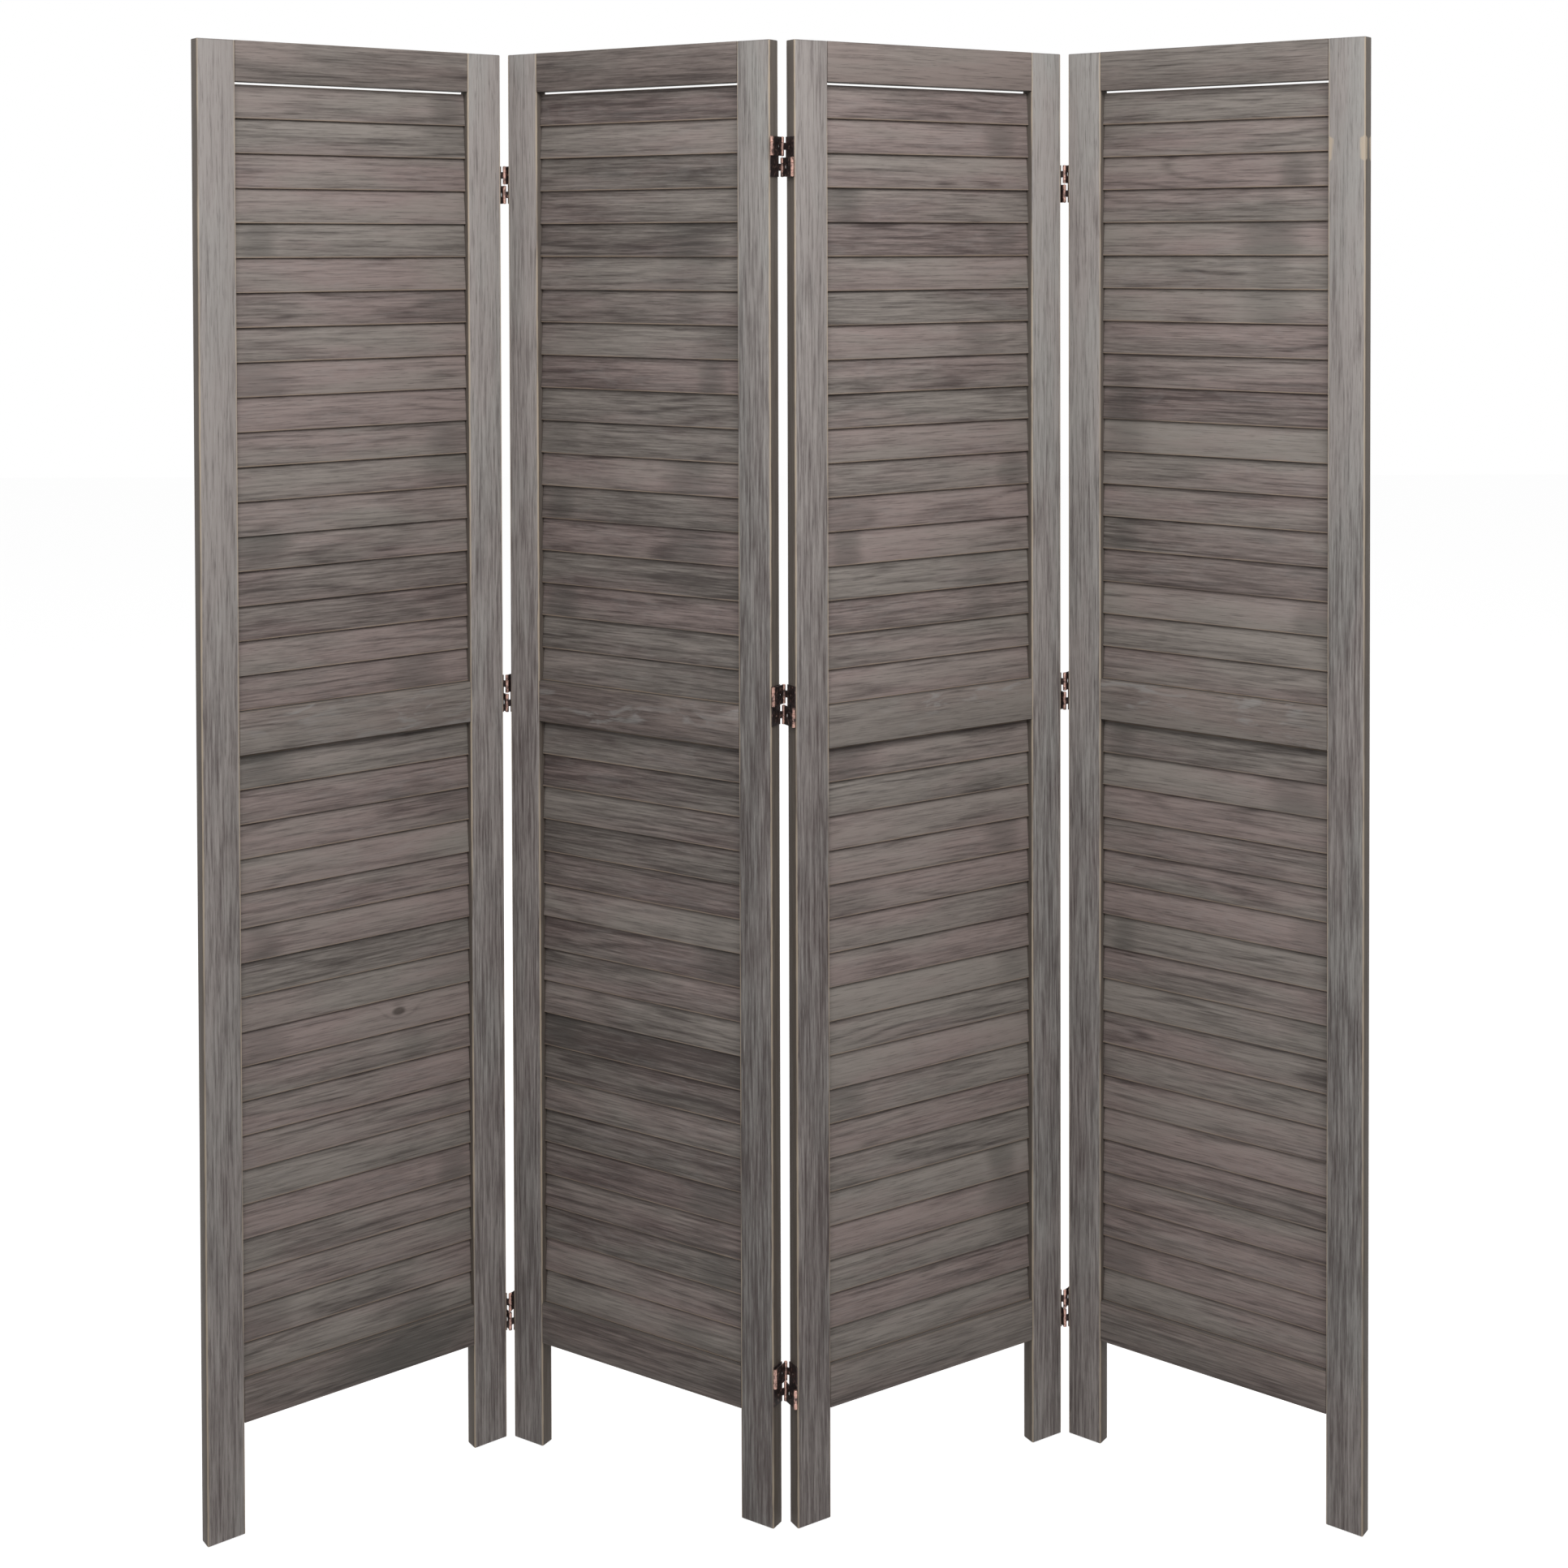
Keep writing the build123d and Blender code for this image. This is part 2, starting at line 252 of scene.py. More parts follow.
def make_grain_group():
    """Growth rings, fine fibres and open pores along a board, bent round its knot."""
    tree, entry, leave = new_group(
        "wood_grain",
        {"Ring Spacing": 0.006, "Waviness": 0.004, "Fibre Scale": 1.0},
        ("Rings", "Fibres", "Strands", "Pores", "Hairs", "Knot"),
    )
    place = attribute(tree, "grain")
    offset = attribute(tree, "offset")
    knot = parts_of(tree, attribute(tree, "knot"))
    spot = add_node(tree, "ShaderNodeVectorMath", {0: place, 1: offset}, operation="ADD").outputs[0]
    local = parts_of(tree, place)
    moved = parts_of(tree, offset)

    # Distance from the knot, in knot radii, shorter across the grain than along it
    along = maths(tree, "MULTIPLY", maths(tree, "SUBTRACT", local["X"], knot["X"]), 0.55)
    across = maths(tree, "SUBTRACT", local["Y"], knot["Y"])
    away = maths(tree, "SQRT", maths(tree, "ADD", maths(tree, "MULTIPLY", along, along),
                                    maths(tree, "MULTIPLY", across, across)))
    near = maths(tree, "DIVIDE", away, maths(tree, "MAXIMUM", knot["Z"], 0.0001))
    bend = ramp(tree, near, 3.6, 0.4)
    core = ramp(tree, near, 1.0, 0.45)

    # Rings about a pith that lies under the face and drifts along the board
    drift = noise(tree, spot, (2.2, 6.0, 6.0), detail=2.0)
    swell = noise(tree, spot, (9.0, 60.0, 60.0), detail=2.0)
    pith = maths(tree, "MULTIPLY", maths(tree, "SINE", maths(tree, "MULTIPLY", moved["Y"], 11.0)), 0.018)
    side = maths(tree, "SUBTRACT", local["Y"], pith)
    under = maths(tree, "ADD", local["Z"], maths(tree, "MULTIPLY", drift, 0.05))
    reach = maths(tree, "SQRT", maths(tree, "ADD", maths(tree, "MULTIPLY", side, side),
                                     maths(tree, "MULTIPLY", under, under)))
    wave = maths(tree, "MULTIPLY", swell, entry.outputs["Waviness"])
    turned = maths(tree, "ADD", maths(tree, "ADD", reach, wave), maths(tree, "MULTIPLY", bend, 0.010))
    phase = maths(tree, "MULTIPLY", maths(tree, "DIVIDE", turned, entry.outputs["Ring Spacing"]), 2 * pi)
    swing = maths(tree, "MULTIPLY_ADD", maths(tree, "SINE", phase), 0.5, 0.5)
    faded = ramp(tree, noise(tree, spot, (6.0, 40.0, 40.0), detail=2.0), 0.42, 0.62)
    rings = maths(tree, "MULTIPLY", maths(tree, "POWER", swing, 4.0), maths(tree, "MAXIMUM", faded, bend))

    scale = entry.outputs["Fibre Scale"]
    fine = add_node(tree, "ShaderNodeVectorMath", {0: spot}, operation="SCALE")
    tree.links.new(scale, fine.inputs["Scale"])
    fibres = noise(tree, fine.outputs[0], (14.0, 370.0, 370.0), detail=4.0, roughness=0.74)
    strands = noise(tree, fine.outputs[0], (5.0, 120.0, 120.0), detail=3.0, distortion=0.2)
    dashes = noise(tree, fine.outputs[0], (34.0, 760.0, 760.0), detail=2.0)
    pores = ramp(tree, dashes, 0.60, 0.70)
    pale = noise(tree, fine.outputs[0], (20.0, 610.0, 610.0), detail=2.0, distortion=0.3)
    hairs = ramp(tree, pale, 0.60, 0.71)
    found = (("Rings", rings), ("Fibres", fibres), ("Strands", strands), ("Pores", pores), ("Hairs", hairs),
             ("Knot", core))
    for label, value in found:
        tree.links.new(value, leave.inputs[label])
    return tree


def make_stain_group():
    """Uneven stain: broad patches, a drifting tint, and one soaked mark on some boards."""
    tree, entry, leave = new_group("uneven_stain", {"Patch Scale": 1.0},
                                  ("Patches", "Tint", "Mark", "Speckle", "Figure Sheen"))
    place = attribute(tree, "grain")
    offset = attribute(tree, "offset")
    mark = parts_of(tree, attribute(tree, "mark"))
    spot = add_node(tree, "ShaderNodeVectorMath", {0: place, 1: offset}, operation="ADD").outputs[0]
    sized = add_node(tree, "ShaderNodeVectorMath", {0: spot}, operation="SCALE")
    tree.links.new(entry.outputs["Patch Scale"], sized.inputs["Scale"])
    patches = noise(tree, sized.outputs[0], (4.5, 22.0, 22.0), detail=4.0, roughness=0.58, distortion=0.5)
    apart = (3.1, 1.7, 2.3)
    shifted = add_node(tree, "ShaderNodeVectorMath", {0: sized.outputs[0], 1: apart}, operation="ADD")
    tint = noise(tree, shifted.outputs[0], (4.5, 20.0, 20.0), detail=2.0)
    speckle = noise(tree, spot, (160.0, 420.0, 420.0), detail=2.0)
    # A pale wavy pattern along the grain: partly the wood's figure, partly a painted sheen
    waved = noise(tree, spot, (9.0, 34.0, 34.0), detail=3.0, roughness=0.6, distortion=2.2)
    figure_sheen = maths(tree, "MULTIPLY", ramp(tree, waved, 0.50, 0.66), ramp(tree, tint, 0.40, 0.56))

    local = parts_of(tree, place)
    along = maths(tree, "SUBTRACT", local["X"], mark["X"])
    along = maths(tree, "DIVIDE", along, maths(tree, "MAXIMUM", mark["Y"], 0.001))
    squared = maths(tree, "MULTIPLY", along, along)
    ragged = maths(tree, "ADD", squared, maths(tree, "MULTIPLY_ADD", patches, 3.2, -1.6))
    soaked = maths(tree, "MULTIPLY", ramp(tree, ragged, 1.1, -0.5), maths(tree, "MAXIMUM", mark["Z"], 0.0))
    for label, value in (("Patches", patches), ("Tint", tint), ("Mark", soaked), ("Speckle", speckle),
                         ("Figure Sheen", figure_sheen)):
        tree.links.new(value, leave.inputs[label])
    return tree


def make_edge_group():
    """Worn arrises with a chip on some boards, painted shade at the ends where boards meet, and the narrow
    sides of a board.
    """
    tree, entry, leave = new_group(
        "board_edges",
        {"Wear Width": 0.0012, "Wear Patchiness": 0.5, "End Shade": 0.004},
        ("Wear", "Ends", "Sides"),
    )
    place = attribute(tree, "grain")
    offset = attribute(tree, "offset")
    half = parts_of(tree, attribute(tree, "half"))
    mark = parts_of(tree, attribute(tree, "mark"))
    spot = add_node(tree, "ShaderNodeVectorMath", {0: place, 1: offset}, operation="ADD").outputs[0]
    local = parts_of(tree, place)
    away = maths(tree, "ABSOLUTE", maths(tree, "SUBTRACT", local["X"], mark["X"]))
    away = maths(tree, "DIVIDE", away, maths(tree, "MAXIMUM", mark["Y"], 0.001))
    chip = maths(tree, "MULTIPLY", ramp(tree, away, 1.0, 0.7), maths(tree, "LESS_THAN", mark["Z"], 0.0))
    inset = []
    for axis in ("X", "Y", "Z"):
        inset.append(maths(tree, "SUBTRACT", half[axis], maths(tree, "ABSOLUTE", local[axis])))
    arris = maths(tree, "ADD", inset[1], inset[2])
    broken = noise(tree, spot, (26.0, 300.0, 300.0), detail=4.0, roughness=0.6)
    gaps = noise(tree, spot, (5.0, 30.0, 30.0), detail=2.0)
    ragged = maths(tree, "MULTIPLY_ADD", broken, 2.0, 0.1)
    spread = maths(tree, "MULTIPLY", entry.outputs["Wear Width"], ragged)
    spread = maths(tree, "MULTIPLY", spread, maths(tree, "MULTIPLY_ADD", chip, 3.0, 1.0))
    share = maths(tree, "DIVIDE", arris, maths(tree, "MAXIMUM", spread, 0.00001))
    worn = ramp(tree, maths(tree, "SUBTRACT", 1.0, share), 0.0, 0.6)
    kept = ramp(tree, gaps, maths(tree, "SUBTRACT", entry.outputs["Wear Patchiness"], 0.16),
                maths(tree, "ADD", entry.outputs["Wear Patchiness"], 0.10))
    wear = maths(tree, "MULTIPLY", worn, maths(tree, "MAXIMUM", kept, chip))
    ends = ramp(tree, inset[0], entry.outputs["End Shade"], 0.0)
    sides = ramp(tree, inset[1], 0.0006, 0.0003)
    for label, value in (("Wear", wear), ("Ends", ends), ("Sides", sides)):
        tree.links.new(value, leave.inputs[label])
    return tree


wood_grain = make_grain_group()
uneven_stain = make_stain_group()
board_edges = make_edge_group()


def rgb(red, green, blue):
    """A linear colour."""
    return (red, green, blue, 1.0)


# Colours that the wood stains share
# Colour of the pale wavy pattern: partly the wood's figure, partly a painted sheen
figure_sheen_colour = rgb(0.335, 0.325, 0.312)
soaked_colour = rgb(0.060, 0.057, 0.051)
pore_colour = rgb(0.045, 0.037, 0.033)
hair_colour = rgb(0.46, 0.43, 0.40)
knot_colour = rgb(0.040, 0.030, 0.024)
# Colour of the painted shade at the ends of boards
end_shade_colour = rgb(0.040, 0.032, 0.027)


def stained_wood(name, pale, deep, warm, cool, side, bare, rings=0.5, fibres=1.6, strands=0.8, patches=0.6,
                 hairs=0.3, wear=0.7, ring_spacing=0.006, wear_width=0.0012, patchiness=0.5, end_shade=0.003,
                 tint=0.6, rise=0.0, figure_sheen=0.0):
    """Grey stained open-grained wood, driven by what each board carries.

    pale and deep are the stain's two ends, warm and cool its tints. side is the colour of the narrow
    faces and bare that of worn wood. rise is painted light: it pales a board towards its upper end.
    """
    material = bpy.data.materials.new(name)
    material.use_nodes = True
    tree = material.node_tree
    shader = tree.nodes["Principled BSDF"]
    grain = use_group(tree, wood_grain, {"Ring Spacing": ring_spacing})
    stain = use_group(tree, uneven_stain, {})
    edges = use_group(tree, board_edges, {"Wear Width": wear_width, "Wear Patchiness": patchiness,
                                          "End Shade": end_shade})
    tone = parts_of(tree, attribute(tree, "tone"))

    # How much of the darker stain shows
    depth = maths(tree, "MULTIPLY", grain["Rings"], rings)
    depth = maths(tree, "MULTIPLY_ADD", maths(tree, "SUBTRACT", grain["Fibres"], 0.5), fibres, depth)
    depth = maths(tree, "MULTIPLY_ADD", maths(tree, "SUBTRACT", grain["Strands"], 0.5), strands, depth)
    soaked = ramp(tree, stain["Patches"], 0.36, 0.68)
    depth = maths(tree, "MULTIPLY_ADD", maths(tree, "SUBTRACT", soaked, 0.45), patches, depth)
    depth = maths(tree, "ADD", depth, tone["X"])
    # Painted light: rise pales the board towards its upper end, a painted top light on the stiles
    depth = maths(tree, "MULTIPLY_ADD", ramp(tree, tone["Z"], 0.40, 1.0), -rise, depth)
    factor = ramp(tree, depth, -0.65, 1.20)
    colour = blend(tree, factor, pale, deep)

    # Pinkish and greenish drift of the stain
    hue = maths(tree, "ADD", ramp(tree, stain["Tint"], 0.34, 0.66), tone["Y"])
    hue = add_node(tree, "ShaderNodeClamp", {"Value": hue}).outputs[0]
    drift = blend(tree, hue, cool, warm)
    colour = blend(tree, tint, colour, drift, "MULTIPLY")

    # Partly real figure, partly painted sheen: a pale wavy pattern along the grain
    colour = blend(tree, maths(tree, "MULTIPLY", stain["Figure Sheen"], figure_sheen), colour, figure_sheen_colour)
    colour = blend(tree, maths(tree, "MULTIPLY", stain["Mark"], 0.60), colour, soaked_colour)
    colour = blend(tree, maths(tree, "MULTIPLY", grain["Pores"], 0.38), colour, pore_colour)
    colour = blend(tree, maths(tree, "MULTIPLY", grain["Hairs"], hairs), colour, hair_colour)
    colour = blend(tree, maths(tree, "MULTIPLY", grain["Knot"], 0.75), colour, knot_colour)
    colour = blend(tree, maths(tree, "MULTIPLY", edges["Sides"], 0.8), colour, side)
    # Painted shade: each board darkens towards its ends, where it meets the next board
    colour = blend(tree, maths(tree, "MULTIPLY", edges["Ends"], 0.35), colour, end_shade_colour)
    colour = blend(tree, maths(tree, "MULTIPLY", edges["Wear"], wear), colour, bare)
    tree.links.new(colour, shader.inputs["Base Color"])

    rough = maths(tree, "MULTIPLY_ADD", grain["Fibres"], 0.22, 0.50)
    rough = maths(tree, "ADD", rough, maths(tree, "MULTIPLY", stain["Speckle"], 0.10))
    tree.links.new(rough, shader.inputs["Roughness"])
    shader.inputs["Specular IOR Level"].default_value = 0.35

    relief = maths(tree, "MULTIPLY_ADD", grain["Pores"], -0.8, maths(tree, "MULTIPLY", grain["Fibres"], 0.9))
    relief = maths(tree, "ADD", relief, maths(tree, "MULTIPLY", grain["Rings"], -0.25))
    bump = add_node(tree, "ShaderNodeBump", {"Height": relief, "Strength": 0.35, "Distance": 0.0004})
    tree.links.new(bump.outputs["Normal"], shader.inputs["Normal"])
    return material


def bronzed_metal(name, dark, rubbed_and_highlit, rub, roughness):
    """Dark bronzed steel that is coppery where it is worn, and on its barrels where a painted highlight is
    marked.
    """
    material = bpy.data.materials.new(name)
    material.use_nodes = True
    tree = material.node_tree
    shader = tree.nodes["Principled BSDF"]
    place = add_node(tree, "ShaderNodeTexCoord").outputs["Object"]
    cloud = noise(tree, place, (260.0, 260.0, 180.0), detail=4.0, roughness=0.6)
    scratch = noise(tree, place, (900.0, 900.0, 4200.0), detail=2.0)
    rub_and_highlight_mark = add_node(tree, "ShaderNodeAttribute", attribute_name="rubbed_and_highlit", attribute_type="GEOMETRY")
    held = rub_and_highlight_mark.outputs["Fac"]
    sum_of_both = maths(tree, "MULTIPLY_ADD", scratch, 0.35, cloud)
    # Painted highlight: barrel vertices carry a mark that pushes them to the coppery colour, standing in for
    # their bright reflections
    worn = ramp(tree, maths(tree, "MULTIPLY_ADD", held, 0.20, sum_of_both), 0.74 - rub, 1.02 - rub)
    colour = blend(tree, worn, dark, rubbed_and_highlit)
    tree.links.new(colour, shader.inputs["Base Color"])
    shader.inputs["Metallic"].default_value = 0.85
    tree.links.new(maths(tree, "MULTIPLY_ADD", scratch, 0.25, roughness), shader.inputs["Roughness"])
    bump = add_node(tree, "ShaderNodeBump", {"Height": cloud, "Strength": 0.12, "Distance": 0.0002})
    tree.links.new(bump.outputs["Normal"], shader.inputs["Normal"])
    return material


# The stiles' stain carries painted light: rise pales them towards the top
stile_stain = stained_wood(
    "stile_stain", pale=rgb(0.362, 0.346, 0.328), deep=rgb(0.090, 0.073, 0.070),
    warm=rgb(1.0, 0.91, 0.91), cool=rgb(0.98, 0.98, 0.98), side=rgb(0.085, 0.066, 0.050),
    bare=rgb(0.55, 0.45, 0.34), rings=0.24, fibres=3.7, strands=0.7, patches=0.28, hairs=0.34, wear=0.80,
    ring_spacing=0.0085, wear_width=0.0019, patchiness=0.42, end_shade=0.002, tint=0.60, rise=0.66,
)
rail_look = {
    "pale": rgb(0.288, 0.250, 0.229), "deep": rgb(0.068, 0.055, 0.051),
    "warm": rgb(1.0, 0.90, 0.89), "cool": rgb(0.96, 0.99, 0.96), "side": rgb(0.11, 0.098, 0.090),
    "bare": rgb(0.34, 0.27, 0.21), "rings": 0.40, "fibres": 3.0, "strands": 0.7, "patches": 0.34,
    "hairs": 0.12, "wear": 0.35, "ring_spacing": 0.0065, "wear_width": 0.0010, "patchiness": 0.52,
    "end_shade": 0.0015, "tint": 0.55,
}
rail_stain = stained_wood("rail_stain", **rail_look)
# The middle rails' pale wavy pattern is partly the wood's figure and partly painted sheen
sheen_figured_stain = stained_wood("sheen_figured_rail_stain", figure_sheen=0.55, **rail_look)
slat_stain = stained_wood(
    "slat_stain", pale=rgb(0.315, 0.272, 0.251), deep=rgb(0.073, 0.058, 0.054),
    warm=rgb(1.0, 0.88, 0.89), cool=rgb(0.94, 0.99, 0.95), side=rgb(0.14, 0.12, 0.105),
    bare=rgb(0.38, 0.29, 0.22), rings=0.50, fibres=3.0, strands=0.7, patches=0.34, hairs=0.12, wear=0.75,
    ring_spacing=0.0075, wear_width=0.0015, patchiness=0.42, end_shade=0.0015, tint=0.60, figure_sheen=0.12,
)
leaf_bronze = bronzed_metal("leaf_bronze", rgb(0.052, 0.040, 0.040), rgb(0.50, 0.31, 0.26), 0.02, 0.34)
link_bronze = bronzed_metal("link_bronze", rgb(0.048, 0.036, 0.035), rgb(0.56, 0.34, 0.28), 0.05, 0.30)
pin_bronze = bronzed_metal("pin_bronze", rgb(0.10, 0.060, 0.048), rgb(0.62, 0.38, 0.29), 0.14, 0.26)
screw_bronze = bronzed_metal("screw_bronze", rgb(0.050, 0.036, 0.032), rgb(0.45, 0.27, 0.20), 0.05, 0.30)


# Boards

def chance(key):
    """Random numbers that are the same for one board on every run."""
    return Random(f"board {key}")


def add_board(bm, size, ease, place, key, knot=None, mark=None, shade=0.0):
    """A board with its grain along X, eased edges and what its stain needs, set in its place."""
    length = size[0]
    lot = chance(key)
    made = bmesh.ops.create_cube(bm, size=1.0)
    bmesh.ops.scale(bm, vec=size, verts=made["verts"])
    edges = list({edge for vertex in made["verts"] for edge in vertex.link_edges})
    before = set(bm.verts) - set(made["verts"])
    bmesh.ops.bevel(bm, geom=edges, offset=ease, segments=2, profile=0.5, affect="EDGES", material=-1)
    verts = [vertex for vertex in bm.verts if vertex not in before]
    layers = bm.verts.layers.float_vector
    half = Vector(size) / 2
    offset = Vector([lot.uniform(-offset_spread, offset_spread) for _ in range(3)])
    darkness = shade + lot.gauss(0, shade_spread)
    hue = lot.uniform(-hue_spread, hue_spread)
    for vertex in verts:
        vertex[layers["grain"]] = vertex.co
        vertex[layers["half"]] = half
        vertex[layers["offset"]] = offset
        # The third part of tone is the place along the board, from one end to the other, which the painted
        # top light reads
        vertex[layers["tone"]] = Vector((darkness, hue, vertex.co.x / length + 0.5))
        vertex[layers["knot"]] = knot or no_knot
        vertex[layers["mark"]] = mark or no_mark
    bmesh.ops.transform(bm, matrix=place, verts=verts)
    return verts


def new_boards():
    """An empty mesh with the layers that boards carry."""
    bm = bmesh.new()
    for name in ("grain", "half", "offset", "tone", "knot", "mark"):
        bm.verts.layers.float_vector.new(name)
    return bm


def finish_piece(bm, name, material, body, replaced, smooth=None):
    """An object from a mesh: it rides on its body and stands for its node."""
    mesh = bpy.data.meshes.new(name)
    bm.to_mesh(mesh)
    bm.free()
    mesh.materials.append(material)
    if smooth:
        mesh.shade_smooth()
        mesh.set_sharp_from_angle(angle=smooth)
    piece = bpy.data.objects.new(name, mesh)
    bpy.context.scene.collection.objects.link(piece)
    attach(piece, body)
    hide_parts(replaced)


def body_of(node):
    """The body that a node rides on."""
    return frame["nodes"][node]["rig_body"]


def upright(x, y, z):
    """Axes of a stile: its grain runs up, its width along the panel."""
    return Matrix(((0, -1, 0, x), (0, 0, -1, y), (1, 0, 0, z), (0, 0, 0, 1)))


def level(x, y, z, tilt=0.0):
    """Axes of a rail or slat: its grain runs along the panel, its width up, leaning back by tilt."""
    turn = Matrix(((1, 0, 0, 0), (0, 0, -1, 0), (0, 1, 0, 0), (0, 0, 0, 1)))
    return Matrix.Translation((x, y, z)) @ Matrix.Rotation(-tilt, 4, "X") @ turn


def sole_of(verts):
    """The vertices at the very end of a leg."""
    lowest = min(vertex.co.z for vertex in verts)
    return [vertex for vertex in verts if vertex.co.z < lowest + frame_ease / 2]


def make_stiles():
    """The eight stiles, with eased arrises and blunted feet."""
    for number, panel in panels.items():
        for side, middle in (("left", stile_width / 2), ("right", panel_width - stile_width / 2)):
            node = f"panel_{number}_{side}_stile"
            bm = new_boards()
            place = upright(middle, panel_thickness / 2, panel_height / 2)
            size = (panel_height, stile_width, panel_thickness)
            mark = corner_chip if (number, side) == (4, "right") else None
            shade = stile_shades[number, side]
            verts = add_board(bm, size, frame_ease, place, node, mark=mark, shade=shade)
            step = foot_ease - frame_ease
            for vertex in sole_of(verts):
                vertex.co.x += step * (1 if middle > vertex.co.x else -1)
                vertex.co.y += step * (1 if panel_thickness / 2 > vertex.co.y else -1)
            bmesh.ops.transform(bm, matrix=panel, verts=bm.verts)
            finish_piece(bm, f"{node}_board", stile_stain, body_of(node), node, radians(40))


def make_rails():
    """The twelve rails, flush with the stiles."""
    heights = {
        "top_rail": (top_rail_bottom, top_rail_height),
        "middle_rail": (middle_rail_bottom, middle_rail_height),
        "bottom_rail": (leg_length, bottom_rail_height),
    }
    length = panel_width - 2 * stile_width
    for number, panel in panels.items():
        for name, (bottom, height) in heights.items():
            node = f"panel_{number}_{name}"
            bm = new_boards()
            place = level(panel_width / 2, panel_thickness / 2, bottom + height / 2)
            shade = panel_shades[number] + (bottom_rail_shade if name == "bottom_rail" else 0.0)
            mark = soaked_rail_end if name == "bottom_rail" and number == 1 else None
            size = (length, height, panel_thickness)
            add_board(bm, size, joint_ease, place, node, mark=mark, shade=shade)
            bmesh.ops.transform(bm, matrix=panel, verts=bm.verts)
            stain = sheen_figured_stain if name == "middle_rail" else rail_stain
            finish_piece(bm, f"{node}_board", stain, body_of(node), node, radians(40))


def make_slats():
    """The slats of the eight bays, each a thin board of its own."""
    length = panel_width - 2 * (stile_width + joint_clearance)
    first = slat_thickness * sin(slat_tilt) + joint_clearance
    half_run, half_rise = sin(slat_tilt) / 2, cos(slat_tilt) / 2
    for number, panel in panels.items():
        for bay, bay_bottom in (("lower", lower_bay_bottom), ("upper", upper_bay_bottom)):
            node = f"panel_{number}_{bay}_slats"
            bm = new_boards()
            for count in range(slats_per_bay):
                lot = chance(f"{node} {count}")
                height = first + count * slat_pitch
                width = slat_width
                if count == slats_per_bay - 1:
                    width = (bay_height - height - top_slat_gap) / cos(slat_tilt)
                depth = slat_set_back + width * half_run + slat_thickness * half_rise
                rise = bay_bottom + height + width * half_rise - slat_thickness * half_run
                mark = None
                if lot.random() < marked_share:
                    reach = lot.choice(mark_reaches) * length
                    mark = Vector((reach, lot.uniform(0.020, 0.055), lot.uniform(0.35, 1.0)))
                knot = slat_knot if (number, bay, count) == (1, "lower", 9) else None
                add_board(
                    bm, (length, width, slat_thickness), slat_ease,
                    level(panel_width / 2, depth, rise, slat_tilt), f"{node} {count}",
                    knot=knot, mark=mark, shade=panel_shades[number],
                )
            bmesh.ops.transform(bm, matrix=panel, verts=bm.verts)
            finish_piece(bm, f"{node}_boards", slat_stain, body_of(node), node, radians(40))


# Hinges: in a hinge's own axes X points out of the end face, Y across the panel, Z up

def turn_profile(bm, profile, steps, place):
    """A closed ring or a solid of revolution about Z, from points of radius and height."""
    verts = [bm.verts.new((radius, 0.0, height)) for radius, height in profile]
    edges = [bm.edges.new(pair) for pair in zip(verts, verts[1:])]
    if profile[0][0] > 0:
        edges.append(bm.edges.new((verts[-1], verts[0])))
    before = set(bm.verts) - set(verts)
    bmesh.ops.spin(
        bm, geom=verts + edges, cent=(0, 0, 0), axis=(0, 0, 1), angle=2 * pi, steps=steps, use_merge=True,
    )
    made = [vertex for vertex in bm.verts if vertex not in before]
    bmesh.ops.remove_doubles(bm, verts=made, dist=weld_distance)
    made = [vertex for vertex in bm.verts if vertex not in before]
    bmesh.ops.transform(bm, matrix=place, verts=made)
    return made


def add_barrel(bm, place, height):
    """A rolled barrel with its bore, marked for a painted coppery highlight."""
    mouth = barrel_radius - barrel_lip
    profile = (
        (bore_radius, 0.0), (mouth, 0.0), (barrel_radius, barrel_lip),
        (barrel_radius, height - barrel_lip), (mouth, height), (bore_radius, height),
    )
    layer = bm.verts.layers.float.get("rubbed_and_highlit")
    for vertex in turn_profile(bm, profile, barrel_sides, place):
        # Painted highlight: every barrel vertex is marked to take the coppery colour
        vertex[layer] = 1.0


def add_holed_plate(bm, width, height, hole, wide_hole, place):
    """A plate in Y and Z, as thick as the sheet along X, with a hole that may widen outwards."""
    before = set(bm.verts)
    ring = bmesh.ops.create_circle(bm, cap_ends=False, segments=hole_sides, radius=hole)["verts"]
    edges = list({edge for vertex in ring for edge in vertex.link_edges})
    outer = bmesh.ops.extrude_edge_only(bm, edges=edges)["geom"]
    rim = [item for item in outer if isinstance(item, bmesh.types.BMVert)]
    corners = [(width / 2 * a, height / 2 * b) for a in (-1, 1) for b in (-1, 1)]
    for vertex in rim:
        x, y = vertex.co.x, vertex.co.y
        grow = min(width / 2 / max(abs(x), 1e-9), height / 2 / max(abs(y), 1e-9))
        vertex.co.x, vertex.co.y = x * grow, y * grow
    for corner in corners:
        nearest = min(rim, key=lambda vertex: hypot(vertex.co.x - corner[0], vertex.co.y - corner[1]))
        nearest.co.x, nearest.co.y = corner
    flat = [face for face in bm.faces if all(vertex not in before for vertex in face.verts)]
    raised = bmesh.ops.extrude_face_region(bm, geom=flat)["geom"]
    top = [item for item in raised if isinstance(item, bmesh.types.BMVert)]
    bmesh.ops.translate(bm, verts=top, vec=(0, 0, plate_thickness))
    for vertex in top:
        reach = hypot(vertex.co.x, vertex.co.y)
        if reach < hole * 1.01:
            vertex.co.x *= wide_hole / reach
            vertex.co.y *= wide_hole / reach
    made = [vertex for vertex in bm.verts if vertex not in before]
    stand = Matrix(((0, 0, 1, 0), (1, 0, 0, 0), (0, 1, 0, 0), (0, 0, 0, 1)))
    bmesh.ops.transform(bm, matrix=place @ stand, verts=made)


